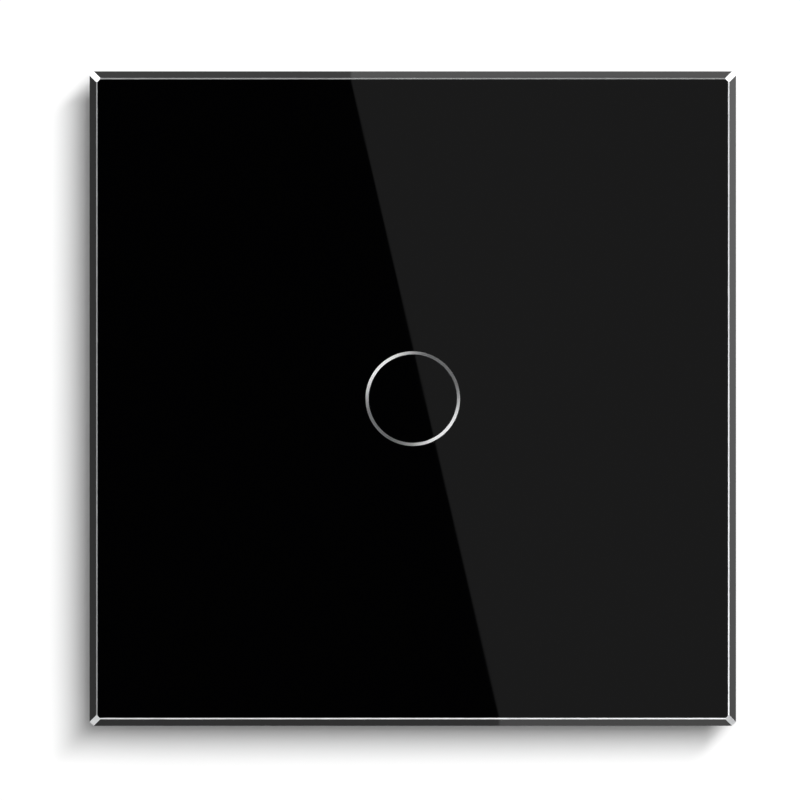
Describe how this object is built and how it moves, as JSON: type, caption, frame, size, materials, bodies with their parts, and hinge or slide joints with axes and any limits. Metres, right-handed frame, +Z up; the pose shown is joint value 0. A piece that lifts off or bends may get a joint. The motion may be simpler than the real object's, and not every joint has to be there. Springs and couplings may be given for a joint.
{
  "type": "touch light switch",
  "caption": "Square black glass wall switch with a silver touch ring, on a clip-on frame, with a steel strap for a round flush box and a rear housing with screw terminals.",
  "frame": {"origin": "middle of the strap's back face, on the wall plane behind the middle of the glass", "axes": "+Y into the wall, so the glass faces -Y; +Z up; +X to the right as seen from the front"},
  "size_m": [0.08, 0.0352, 0.081],
  "materials": {
    "black_glass": "polished, with ground arrises",
    "ring_metal": "circular brushed",
    "back_print": "screen print",
    "adhesive": "foam tape",
    "frame_plastic": "fine moulded texture",
    "housing_plastic": "spark-eroded texture",
    "cover_plastic": "satin, translucent",
    "clear_plastic": "clear",
    "circuit_board": "solder mask",
    "copper": "bare copper",
    "led": "moulded",
    "chip_resin": "moulded",
    "connector_plastic": "moulded",
    "gold_pin": "gold plated",
    "strap_steel": "zinc plated",
    "screw_steel": "nickel plated",
    "film_box": "moulded box",
    "can_sleeve": "shrink sleeve",
    "varistor_coat": "dipped coating",
    "fuse_case": "moulded",
    "ferrite": "sintered",
    "relay_plastic": "moulded",
    "relay_base_plastic": "moulded",
    "soft_iron": "nickel plated",
    "winding": "enamelled wire",
    "contact_silver": "silver alloy",
    "spring_bronze": "rolled",
    "terminal_plastic": "moulded",
    "terminal_brass": "stamped"
  },
  "bodies": {
    "base": {"touch_cover": "cover_plastic", "cover_screws": "screw_steel", "light_guide": "clear_plastic", "touch_pcb": "circuit_board", "touch_pads": "copper", "indicator_leds": "led", "touch_chip": "chip_resin", "pin_header": "connector_plastic", "header_pins": "gold_pin", "base_frame": "frame_plastic", "mounting_strap": "strap_steel", "strap_screws": "screw_steel", "rear_housing": "housing_plastic", "housing_screws": "screw_steel", "power_pcb": "circuit_board", "header_socket": "connector_plastic", "film_capacitor": "film_box", "bulk_capacitor": "can_sleeve", "varistor": "varistor_coat", "fuse": "fuse_case", "choke": "ferrite", "rectifier": "chip_resin", "driver_chip": "chip_resin", "relay_base": "relay_base_plastic", "relay_case": "relay_plastic", "relay_yoke": "soft_iron", "relay_core": "soft_iron", "relay_coil": "winding", "fixed_contact": "contact_silver", "terminal_block_1": "terminal_plastic", "terminal_bar_1": "terminal_brass", "terminal_block_2": "terminal_plastic", "terminal_bar_2": "terminal_brass", "terminal_block_3": "terminal_plastic", "terminal_bar_3": "terminal_brass"},
    "panel": {"glass_panel": "black_glass", "touch_ring": "ring_metal", "black_print": "back_print", "adhesive_gasket": "adhesive", "panel_frame": "frame_plastic"},
    "armature": {"relay_armature": "soft_iron", "contact_spring": "spring_bronze", "moving_contact": "contact_silver"},
    "terminal_screw_1": {"terminal_screw_1": "screw_steel"},
    "terminal_cage_1": {"terminal_cage_1": "terminal_brass"},
    "terminal_screw_2": {"terminal_screw_2": "screw_steel"},
    "terminal_cage_2": {"terminal_cage_2": "terminal_brass"},
    "terminal_screw_3": {"terminal_screw_3": "screw_steel"},
    "terminal_cage_3": {"terminal_cage_3": "terminal_brass"}
  },
  "joints": [
    {"name": "panel_pull", "type": "slide", "parent": "base", "child": "panel", "axis": [0, -1, 0], "range_m": [0, 0.02]},
    {"name": "relay_armature_swing", "type": "hinge", "parent": "base", "child": "armature", "pos_m": [-0.0179, 0.01915, 0.0053], "axis": [0, 0, -1], "range_deg": [0, 3], "stiffness_Nm_per_rad": 0.005, "springref_deg": -1.72},
    {"name": "terminal_screw_1_turn", "type": "hinge", "parent": "base", "child": "terminal_screw_1", "pos_m": [-0.008, 0.02, -0.0179], "axis": [0, -1, 0], "range_deg": [0, 1440]},
    {"name": "terminal_cage_1_lift", "type": "slide", "parent": "base", "child": "terminal_cage_1", "axis": [0, 1, 0], "range_m": [0, 0.002]},
    {"name": "terminal_screw_2_turn", "type": "hinge", "parent": "base", "child": "terminal_screw_2", "pos_m": [0, 0.02, -0.0179], "axis": [0, -1, 0], "range_deg": [0, 1440]},
    {"name": "terminal_cage_2_lift", "type": "slide", "parent": "base", "child": "terminal_cage_2", "axis": [0, 1, 0], "range_m": [0, 0.002]},
    {"name": "terminal_screw_3_turn", "type": "hinge", "parent": "base", "child": "terminal_screw_3", "pos_m": [0.008, 0.02, -0.0179], "axis": [0, -1, 0], "range_deg": [0, 1440]},
    {"name": "terminal_cage_3_lift", "type": "slide", "parent": "base", "child": "terminal_cage_3", "axis": [0, 1, 0], "range_m": [0, 0.002]}
  ],
  "couplings": [
    {"joint": "terminal_screw_1_turn", "follows": "terminal_cage_1_lift", "rad_per_m": 12566},
    {"joint": "terminal_screw_2_turn", "follows": "terminal_cage_2_lift", "rad_per_m": 12566},
    {"joint": "terminal_screw_3_turn", "follows": "terminal_cage_3_lift", "rad_per_m": 12566}
  ]
}
